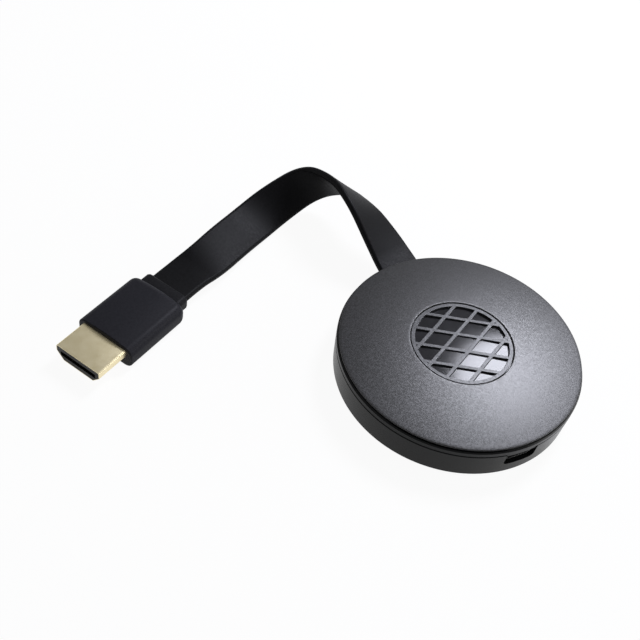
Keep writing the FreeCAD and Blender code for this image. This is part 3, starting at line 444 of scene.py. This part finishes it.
# Black glass-filled polyester: flat and dark, with the speckle of its fibres
INSULATOR_FINISH = moulded("moulded_polyester_insulator", "#070707", "#0e0e0e", 0.5, 0.01, 0.4, 0.05, 0.2)
TONGUE_FINISH = moulded("moulded_polyester_tongue", "#141414", "#1c1c1c", 0.4, 0.005, 0.5)
# Nickel-plated spring steel: a grey metal rim in the dark opening, dulled by its stamping
SOCKET_FINISH = moulded("nickel_plated_steel_socket", "#5a5a5a", "#6c6c6b", 0.6, 0.004, 0.35, 0.05, 0.5, 1.0)
# Gold over phosphor bronze: small warm glints
CONTACT_FINISH = moulded("gold_flashed_bronze_pins", "#d6b25e", "#e2c274", 0.5, 0.002, 0.25, 0.05, 0.5, 1.0)
# Dark grey moulded ABS: the button stands out from the wall by being a little paler
BUTTON_FINISH = moulded("satin_abs_button", "#1e1f21", "#262729", 0.4, 0.01, 0.45)

# Finishes inside the closed case
# Screen-printed solder mask over glass laminate: green, glossy, rippled by the tracks beneath
BOARD_FINISH = moulded("printed_solder_mask_board", "#0f4a33", "#17603f", 1.5, 0.01, 0.35)
# Cold-headed steel with bright zinc: a cool grey metal with small blurs
SCREW_FINISH = moulded("zinc_plated_steel_screws", "#9c9da0", "#b1b2b4", 0.4, 0.005, 0.35, 0.05, 0.5, 1.0)
# Transfer-moulded epoxy: charcoal and matt, with a grain of 0.25 mm
CHIP_FINISH = moulded("moulded_epoxy_chips", "#1b1b1d", "#262628", 0.25, 0.01, 0.6)
# Filled silicone sheet: pale grey, soft and dull
PAD_FINISH = moulded("calendered_silicone_pad", "#8f959f", "#a3a9b2", 0.6, 0.02, 0.7)
# Rolled aluminium sheet: bright, with a soft streakless blur
SPREADER_FINISH = moulded("rolled_aluminium_spreader", "#c4c6ca", "#d6d8da", 0.8, 0.004, 0.35, 0.05, 0.5, 1.0)
# Tinned sheet steel: a whitish metal with clouds of about 1 mm
SHIELD_FINISH = moulded("tinned_steel_shield", "#b3b4b6", "#c4c5c6", 0.9, 0.004, 0.4, 0.05, 0.5, 1.0)
# Fired ceramics: chalky white for the aerial, tan for the capacitors
AERIAL_FINISH = moulded("fired_ceramic_aerial", "#dedcd4", "#e9e7e0", 0.3, 0.004, 0.5)
CAPACITOR_FINISH = moulded("fired_ceramic_capacitors", "#8a6f4d", "#9b7f5a", 0.3, 0.004, 0.5)
# Pressed ferrite powder: dark grey, rough and grainy
COIL_FINISH = moulded("pressed_ferrite_coils", "#3a3a3c", "#48484a", 0.3, 0.02, 0.7)
# Pressed nickel-silver can: a plain satin metal
CRYSTAL_FINISH = moulded("pressed_nickel_silver_can", "#b0b0ac", "#c0c0bb", 0.5, 0.004, 0.35, 0.05, 0.5, 1.0)
# Moulded nylon and acetal: black body, waxy ivory plunger
SWITCH_FINISH = moulded("moulded_nylon_switch", "#1c1c1c", "#262626", 0.4, 0.01, 0.55)
PLUNGER_FINISH = moulded("moulded_acetal_plunger", "#c9c5b9", "#d5d1c6", 0.4, 0.005, 0.45)
# Moulded black PVC: dull charcoal, a little uneven from the mould
ANCHOR_FINISH = moulded("moulded_pvc_anchor", "#161616", "#1f1f1f", 0.5, 0.01, 0.55)

INNER_FINISHES = {
    "circuit_board": BOARD_FINISH,
    "board_screws": SCREW_FINISH,
    "main_processor": CHIP_FINISH,
    "memory_chips": CHIP_FINISH,
    "flash_chip": CHIP_FINISH,
    "thermal_pad": PAD_FINISH,
    "heat_spreader": SPREADER_FINISH,
    "radio_shield": SHIELD_FINISH,
    "chip_antenna": AERIAL_FINISH,
    "power_inductors": COIL_FINISH,
    "bypass_capacitors": CAPACITOR_FINISH,
    "clock_crystal": CRYSTAL_FINISH,
    "socket_tongue": TONGUE_FINISH,
    "socket_contacts": CONTACT_FINISH,
    "plug_contacts": CONTACT_FINISH,
    "tactile_switch": SWITCH_FINISH,
    "switch_plunger": PLUNGER_FINISH,
    "cable_anchor": ANCHOR_FINISH,
}
for node, finish in INNER_FINISHES.items():
    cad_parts[node].data.materials.clear()
    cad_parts[node].data.materials.append(finish)


def dome_height(radius, rise=COVER_APEX - COVER_EDGE_TOP, thinner=0.0):
    """Height of the sphere cap over the cover: z = c + sqrt((R - t)^2 - r^2), where R is the
    radius of the sphere through the apex and the cover's edge, and c its centre."""
    sphere = (COVER_RADIUS ** 2 + rise ** 2) / (2 * rise)
    centre = COVER_APEX - sphere
    return centre + np.sqrt((sphere - thinner) ** 2 - radius ** 2)


def make_cover():
    """The domed lid as one turned shell: pan floor, rounded lip, dome, rounded edge, skirt."""
    dome_radii = np.linspace(PAN_RADIUS, COVER_RADIUS, DOME_STEPS)
    dome = [(radius, float(dome_height(radius)), 0) for radius in dome_radii[1:-1]]
    outer = rounded([
        (0, PAN_FLOOR, 0),
        (PAN_RADIUS, PAN_FLOOR, 0),
        (PAN_RADIUS, float(dome_height(PAN_RADIUS)), PAN_LIP_ROUND),
        *dome,
        (COVER_RADIUS, COVER_EDGE_TOP, EDGE_ROUND),
        (COVER_RADIUS - EDGE_UNDERCUT, COVER_FOOT, 0),
        (SKIRT_OUTSIDE, COVER_FOOT, 0),
        (SKIRT_OUTSIDE, SKIRT_FOOT, SKIRT_ROUND),
        (SKIRT_INSIDE, SKIRT_FOOT, SKIRT_ROUND),
        (SKIRT_INSIDE, float(dome_height(SKIRT_INSIDE, thinner=COVER_WALL)), 0),
        (PAN_OUTSIDE, float(dome_height(PAN_OUTSIDE, thinner=COVER_WALL)), 0),
        (PAN_OUTSIDE, PAN_UNDERSIDE, 0),
        (0, PAN_UNDERSIDE, 0),
    ])
    cover = grid_piece("domed_cover", turned(outer), sharp_angle=COVER_CREASE)
    return show(cover, "top_cover", finish=COVER_FINISH)


def make_inlay():
    """The gloss disc in the pan, slightly crowned: z = edge + bulge (1 - (r / R)^2)."""
    radii = np.linspace(0, PAN_RADIUS, INLAY_STEPS)
    crown = PAN_FLOOR + INLAY_THICKNESS + INLAY_BULGE * (1 - (radii / PAN_RADIUS) ** 2)
    profile = np.vstack((np.column_stack((radii, crown)), ((PAN_RADIUS, PAN_FLOOR), (0, PAN_FLOOR))))
    inlay = grid_piece("crowned_inlay", turned(profile, INLAY_TURN_STEPS))
    return show(inlay, "inlay_plate", finish=INLAY_FINISH)


def spline_points(places):
    """Points of the smooth line with these control points, read from a NURBS spline."""
    curve = bpy.data.curves.new("route", "CURVE")
    curve.dimensions = "3D"
    curve.resolution_u = SPLINE_STEPS
    spline = curve.splines.new("NURBS")
    spline.points.add(len(places) - 1)
    weighted = np.column_stack((places, np.ones(len(places))))
    spline.points.foreach_set("co", weighted.ravel())
    spline.order_u = 3
    spline.use_endpoint_u = True
    holder = bpy.data.objects.new("route", curve)
    line = bpy.data.meshes.new_from_object(holder)
    found = np.empty(len(line.vertices) * 3)
    line.vertices.foreach_get("co", found)
    bpy.data.objects.remove(holder)
    bpy.data.curves.remove(curve)
    bpy.data.meshes.remove(line)
    return found.reshape(-1, 3)


def closed_box(width, height, radius, steps=8):
    """A rectangle with four round corners as one closed ring of (x, y) points about its middle."""
    half_width = width / 2 - radius
    half_height = height / 2 - radius
    angle = np.linspace(0, math.pi / 2, steps + 1)
    corner = radius * np.column_stack((np.cos(angle), np.sin(angle)))
    ring = []
    for quarter, (x, y) in enumerate(((1, 1), (-1, 1), (-1, -1), (1, -1))):
        turn = quarter * math.pi / 2
        spin = np.array(((math.cos(turn), math.sin(turn)), (-math.sin(turn), math.cos(turn))))
        ring.append(corner @ spin + (x * half_width, y * half_height))
    return np.concatenate(ring)


def capped(grid):
    """The grid with a point at each end, the middle of its first and of its last ring."""
    first = np.repeat(grid[:1].mean(axis=1, keepdims=True), grid.shape[1], axis=1)
    last = np.repeat(grid[-1:].mean(axis=1, keepdims=True), grid.shape[1], axis=1)
    return np.concatenate((first, grid, last))


def make_cable():
    """The flat cable: at each point of its route the same rounded section, square to the way of
    the route, with its width turned the way that the route's second line gives."""
    middle = spline_points(np.array([place for place, across in CABLE_ROUTE]))
    edge = spline_points(np.array([np.add(place, across) for place, across in CABLE_ROUTE]))
    way = np.gradient(middle, axis=0)
    way /= np.linalg.norm(way, axis=1, keepdims=True)
    side = edge - middle
    side -= way * (side * way).sum(axis=1, keepdims=True)
    side /= np.linalg.norm(side, axis=1, keepdims=True)
    up = np.cross(side, way)
    section = closed_box(CABLE_WIDTH, CABLE_THICKNESS, CABLE_EDGE_ROUND)
    grid = (middle[:, None] + side[:, None] * section[None, :, :1] + up[:, None] * section[None, :, 1:])
    cable = show(grid_piece("flat_cable", capped(grid)), "ribbon_cable", finish=JACKET_FINISH)
    return cable, middle


def on_plug(points):
    """Points measured along the plug's axis, across it and up, placed at the cable's end."""
    end = np.array(CABLE_ROUTE[-1][0])
    before = np.array(CABLE_ROUTE[-2][0])
    heading = math.atan2(end[1] - before[1], end[0] - before[0])
    along = np.array((math.cos(heading), math.sin(heading), 0))
    across = np.array((-math.sin(heading), math.cos(heading), 0))
    foot = np.array((end[0], end[1], 0))
    return foot + points[..., :1] * along + points[..., 1:2] * across + points[..., 2:] * (0, 0, 1)


def swept(outlines):
    """A grid from (distance along the axis, ring of (across, height)) pairs."""
    rows = [np.column_stack((np.full(len(ring), along), ring)) for along, ring in outlines]
    return np.array(rows)


def make_collar():
    """The strain relief: a rounded box, drawn in at its rear edge by the steps of COLLAR_DRAW."""
    rows = []
    for along, inset in (*COLLAR_DRAW, (COLLAR_LENGTH, 0.0)):
        ring = closed_box(COLLAR_WIDTH - 2 * inset, COLLAR_HEIGHT - 2 * inset, COLLAR_ROUND - inset / 2)
        rows.append((along, ring + (0, PLUG_CENTRE_HEIGHT)))
    collar = grid_piece("cable_strain_relief", on_plug(capped(swept(rows))))
    return show(collar, "cable_collar", finish=COLLAR_FINISH)


def grip_ring(inset):
    """The grip's outline, drawn in evenly: flat foot, round foot corners, straight sides, round
    shoulders and a crown, z = side height + crown (1 - (y / half)^2)."""
    half = GRIP_WIDTH / 2 - inset
    top = GRIP_SIDE_HEIGHT - inset
    shoulder = GRIP_TOP_ROUND - inset / 2
    foot = GRIP_FOOT_ROUND - inset / 3
    quarter = np.linspace(0, math.pi / 2, GRIP_CORNER_STEPS)
    low = np.column_stack((half - foot + foot * np.sin(quarter), inset + foot - foot * np.cos(quarter)))
    high = np.column_stack((half - shoulder + shoulder * np.cos(quarter),
                            top - shoulder + shoulder * np.sin(quarter)))
    flat = half - shoulder
    across = np.linspace(flat, -flat, CROWN_STEPS)[1:-1]
    crown = np.column_stack((across, top + GRIP_CROWN * (1 - (across / flat) ** 2)))
    mirrored = (-1, 1)
    return np.concatenate((low, high, crown, high[::-1] * mirrored, low[::-1] * mirrored))


def make_grip():
    """The plug's moulded grip: its outline swept along it, drawn in over the rear shoulder by a
    quarter ellipse and rounded at the front edge by a quarter circle."""
    rear = COLLAR_LENGTH
    front = COLLAR_LENGTH + GRIP_LENGTH
    quarter = np.linspace(0, math.pi / 2, GRIP_EDGE_STEPS)
    rows = [(rear + GRIP_SHOULDER * (1 - math.cos(turn)), GRIP_SHOULDER_DRAW * (1 - math.sin(turn)))
            for turn in quarter]
    rows += [(front - GRIP_FRONT_ROUND * (1 - math.sin(turn)), GRIP_FRONT_ROUND * (1 - math.cos(turn)))
             for turn in quarter]
    rings = [(along, grip_ring(inset)) for along, inset in rows]
    grip = grid_piece("plug_grip", on_plug(capped(swept(rings))))
    return show(grip, "plug_body", finish=GRIP_FINISH)


def tip_ring(inset):
    """The metal tip's outline, drawn in evenly: wide above, slanted corners below."""
    half = TIP_WIDTH / 2 - inset
    foot_half = TIP_FOOT_WIDTH / 2 - inset / 2
    high = PLUG_CENTRE_HEIGHT + TIP_HEIGHT / 2 - inset
    low = PLUG_CENTRE_HEIGHT - TIP_HEIGHT / 2 + inset
    bend = PLUG_CENTRE_HEIGHT + TIP_HEIGHT / 2 - TIP_SIDE_DROP
    bow = max(TIP_ROUND - inset, TIP_ROUND_LEAST)
    right = rounded([(0, low, 0), (foot_half, low, bow), (half, bend, bow), (half, high, bow), (0, high, 0)])
    return np.concatenate((right, right[-2:0:-1] * (-1, 1)))


def make_tip():
    """The plated tip: a folded metal tube, its wall carried out, over a rounded lip and back in."""
    start = COLLAR_LENGTH + GRIP_LENGTH - TIP_EMBEDDED
    end = COLLAR_LENGTH + GRIP_LENGTH + TIP_EXPOSED
    lip = TIP_LIP_ROUND
    middle = TIP_LIP_MIDDLE * lip
    rows = [
        (start, 0.0),
        (end - lip, 0.0),
        (end - middle, middle),
        (end, lip),
        (end, TIP_METAL - lip),
        (end - middle, TIP_METAL - middle),
        (end - lip, TIP_METAL),
        (start + TIP_METAL, TIP_METAL),
    ]
    rings = [(along, tip_ring(inset)) for along, inset in rows]
    tip = grid_piece("plated_tip", on_plug(capped(swept(rings))), sharp_angle=TIP_CREASE)
    return show(tip, "plug_shell", finish=TIP_FINISH)


def mouth_ring():
    """The plug's mouth, with as many points as the tip's outline and its lower corners cut."""
    half = MOUTH_WIDTH / 2
    high = PLUG_CENTRE_HEIGHT + MOUTH_HEIGHT / 2
    low = PLUG_CENTRE_HEIGHT - MOUTH_HEIGHT / 2
    right = rounded([
        (0, low, 0),
        (half - MOUTH_CORNER, low, MOUTH_ROUND),
        (half, low + MOUTH_CORNER, MOUTH_ROUND),
        (half, high, MOUTH_ROUND),
        (0, high, 0),
    ])
    return np.concatenate((right, right[-2:0:-1] * (-1, 1)))


def make_insulator():
    """The black block that fills the tip nearly to its lip: its outline carried forward, in over
    the front face and back along the mouth."""
    start = COLLAR_LENGTH + GRIP_LENGTH - TIP_EMBEDDED + TIP_METAL + INSULATOR_GAP
    front = COLLAR_LENGTH + GRIP_LENGTH + TIP_EXPOSED - INSULATOR_RECESS
    outline = tip_ring(TIP_METAL + INSULATOR_GAP)
    rings = [(start, outline), (front, outline), (front, mouth_ring()), (front - MOUTH_DEPTH, mouth_ring())]
    block = grid_piece("tip_insulator", on_plug(capped(swept(rings))), sharp_angle=TIP_CREASE)
    return show(block, "plug_insulator", finish=INSULATOR_FINISH)


def raised_case(points):
    """The case's top edge raised to the parting line: its heights run from one list to the other
    in straight lines."""
    height = np.interp(points[:, 2], (0, *CASE_EDGES), (0, *CASE_EDGES_SEEN))
    return np.column_stack((points[:, :2], height))


def parted_rim(points):
    """The rim ring's heights, run from one list to another, with its outer face cut back at the
    foot, so that the parting line shows as a shadow."""
    height = np.interp(points[:, 2], (0, *RIM_EDGES), (0, *RIM_EDGES_SEEN))
    face = np.interp(points[:, 2], RIM_FACE_EDGES, RIM_FACE_EDGES_SEEN)
    outside = np.hypot(points[:, 0], points[:, 1]) > RIM_FACE_FROM
    on_face = outside & (points[:, 2] > RIM_FACE_EDGES[0] - HEIGHT_SLACK)
    return np.column_stack((points[:, :2], np.where(on_face, face, height)))


make_cover()
make_inlay()
flat_cable, cable_line = make_cable()
strain_relief = make_collar()
plug_grip = make_grip()
plated_tip = make_tip()
insulator = make_insulator()
eased_copy("bottom_case", CASE_FINISH, shaping=raised_case)
eased_copy("rim_ring", RIM_FINISH, shaping=parted_rim)
eased_copy("emblem_lattice", LATTICE_FINISH, bevel=RIB_EASING)
eased_copy("socket_shell", SOCKET_FINISH, bevel=SOCKET_EASING)
eased_copy("mode_button", BUTTON_FINISH, bevel=BUTTON_EASING, body="button")


def make_camera():
    """A camera that looks along the fitted direction, moved aside without turning until the
    puck's origin lies at its pixel."""
    elevation = math.radians(CAMERA_ELEVATION)
    azimuth = math.radians(CAMERA_AZIMUTH)
    roll = math.radians(CAMERA_ROLL)
    back = Vector((math.sin(azimuth) * math.cos(elevation), -math.cos(azimuth) * math.cos(elevation),
                   math.sin(elevation)))
    level_right = Vector((math.cos(azimuth), math.sin(azimuth), 0))
    level_up = back.cross(level_right)
    right = math.cos(roll) * level_right + math.sin(roll) * level_up
    up = math.cos(roll) * level_up - math.sin(roll) * level_right
    aside = (PUCK_PIXEL[0] - PHOTO_PIXELS / 2) / FOCAL_PIXELS * CAMERA_DISTANCE
    above = (PHOTO_PIXELS / 2 - PUCK_PIXEL[1]) / FOCAL_PIXELS * CAMERA_DISTANCE
    lens = bpy.data.cameras.new("camera")
    lens.sensor_width = SENSOR_WIDTH
    lens.lens = FOCAL_PIXELS / PHOTO_PIXELS * SENSOR_WIDTH
    lens.clip_start = CLIP_START * MM
    camera = bpy.data.objects.new("camera", lens)
    place = (back * CAMERA_DISTANCE - right * aside - up * above) * MM
    camera.matrix_world = Matrix.Translation(place) @ Matrix((right, up, back)).transposed().to_4x4()
    bpy.context.scene.collection.objects.link(camera)
    bpy.context.scene.camera = camera


def soft_light(name, shape, direction, distance, width, height, power, colour):
    """A soft light at a distance in millimetres, aimed at the puck."""
    lamp = bpy.data.lights.new(name, "AREA")
    lamp.shape = shape
    lamp.size = width * MM
    lamp.size_y = height * MM
    lamp.energy = power
    lamp.color = linear(colour)[:3]
    holder = bpy.data.objects.new(name, lamp)
    way = Vector(direction).normalized()
    turn = way.to_track_quat("Z", "Y").to_matrix().to_4x4()
    holder.matrix_world = Matrix.Translation(way * distance * MM) @ turn
    bpy.context.scene.collection.objects.link(holder)


def shares(tree, camera_share, mirror_share):
    """One share for the camera's own rays, another for those of reflections and see-through
    parts, and none for the rays that carry light onto a surface."""
    ray = add(tree, "ShaderNodeLightPath").outputs
    mirrored = add(tree, "ShaderNodeMath", links={0: ray["Is Glossy Ray"], 1: ray["Is Transmission Ray"]},
                   operation="MAXIMUM")
    mirror = add(tree, "ShaderNodeMath", {1: mirror_share}, {0: mirrored.outputs[0]}, operation="MULTIPLY")
    camera = add(tree, "ShaderNodeMath", {1: camera_share}, {0: ray["Is Camera Ray"]}, operation="MULTIPLY")
    both = add(tree, "ShaderNodeMath", links={0: mirror.outputs[0], 1: camera.outputs[0]},
               operation="MAXIMUM")
    return both.outputs[0]


def make_floor():
    """A white paper floor. To the eye it is mostly plain white, yet it keeps part of the shadow."""
    reach = FLOOR_REACH * MM
    mesh = bpy.data.meshes.new("floor")
    mesh.from_pydata([(-reach, -reach, 0), (reach, -reach, 0), (reach, reach, 0), (-reach, reach, 0)],
                     [], [(0, 1, 2, 3)])
    floor = bpy.data.objects.new("floor", mesh)
    bpy.context.scene.collection.objects.link(floor)
    paper = bpy.data.materials.new("white_paper_floor")
    paper.use_nodes = True
    tree = paper.node_tree
    tree.nodes.clear()
    sheet = add(tree, "ShaderNodeBsdfDiffuse", {"Color": linear(PAPER)})
    glow = add(tree, "ShaderNodeEmission", {"Color": (1, 1, 1, 1), "Strength": 1.0})
    mixed = add(tree, "ShaderNodeMixShader", links={
        0: shares(tree, FLOOR_GLOW, FLOOR_GLOW_MIRRORED), 1: sheet.outputs[0], 2: glow.outputs[0]})
    add(tree, "ShaderNodeOutputMaterial", links={"Surface": mixed.outputs[0]})
    mesh.materials.append(paper)


def make_surround():
    """Plain white to the eye, a horizon that dims overhead to reflections, and an even fill."""
    world = bpy.data.worlds.new("white_surround")
    bpy.context.scene.world = world
    world.use_nodes = True
    tree = world.node_tree
    tree.nodes.clear()
    way = add(tree, "ShaderNodeTexCoord").outputs["Generated"]
    rise = add(tree, "ShaderNodeSeparateXYZ", links={"Vector": way}).outputs["Z"]
    dimming = add(tree, "ShaderNodeMapRange", {
        "From Min": math.sin(math.radians(HORIZON_WHITE_TO)), "To Min": 1.0,
        "From Max": math.sin(math.radians(OVERHEAD_FROM)), "To Max": OVERHEAD_LEVEL,
    }, {"Value": rise}, interpolation_type="SMOOTHSTEP")
    fill = add(tree, "ShaderNodeBackground", {"Color": (1, 1, 1, 1), "Strength": FILL_LEVEL})
    eye = add(tree, "ShaderNodeLightPath").outputs["Is Camera Ray"]
    seen = add(tree, "ShaderNodeMath", links={0: dimming.outputs[0], 1: eye}, operation="MAXIMUM")
    white = add(tree, "ShaderNodeBackground", {"Color": (1, 1, 1, 1)}, {"Strength": seen.outputs[0]})
    mixed = add(tree, "ShaderNodeMixShader",
                links={0: shares(tree, 1.0, 1.0), 1: fill.outputs[0], 2: white.outputs[0]})
    add(tree, "ShaderNodeOutputWorld", links={"Surface": mixed.outputs[0]})


make_camera()
make_floor()
make_surround()
soft_light("overhead dish", "ELLIPSE", DISH_WAY, DISH_DISTANCE, DISH_WIDTH, DISH_HEIGHT, DISH_POWER,
           DISH_COLOUR)
soft_light("right softbox", "RECTANGLE", SOFTBOX_WAY, SOFTBOX_DISTANCE, SOFTBOX_WIDTH, SOFTBOX_HEIGHT,
           SOFTBOX_POWER, SOFTBOX_COLOUR)
bpy.context.scene.view_settings.view_transform = "Standard"
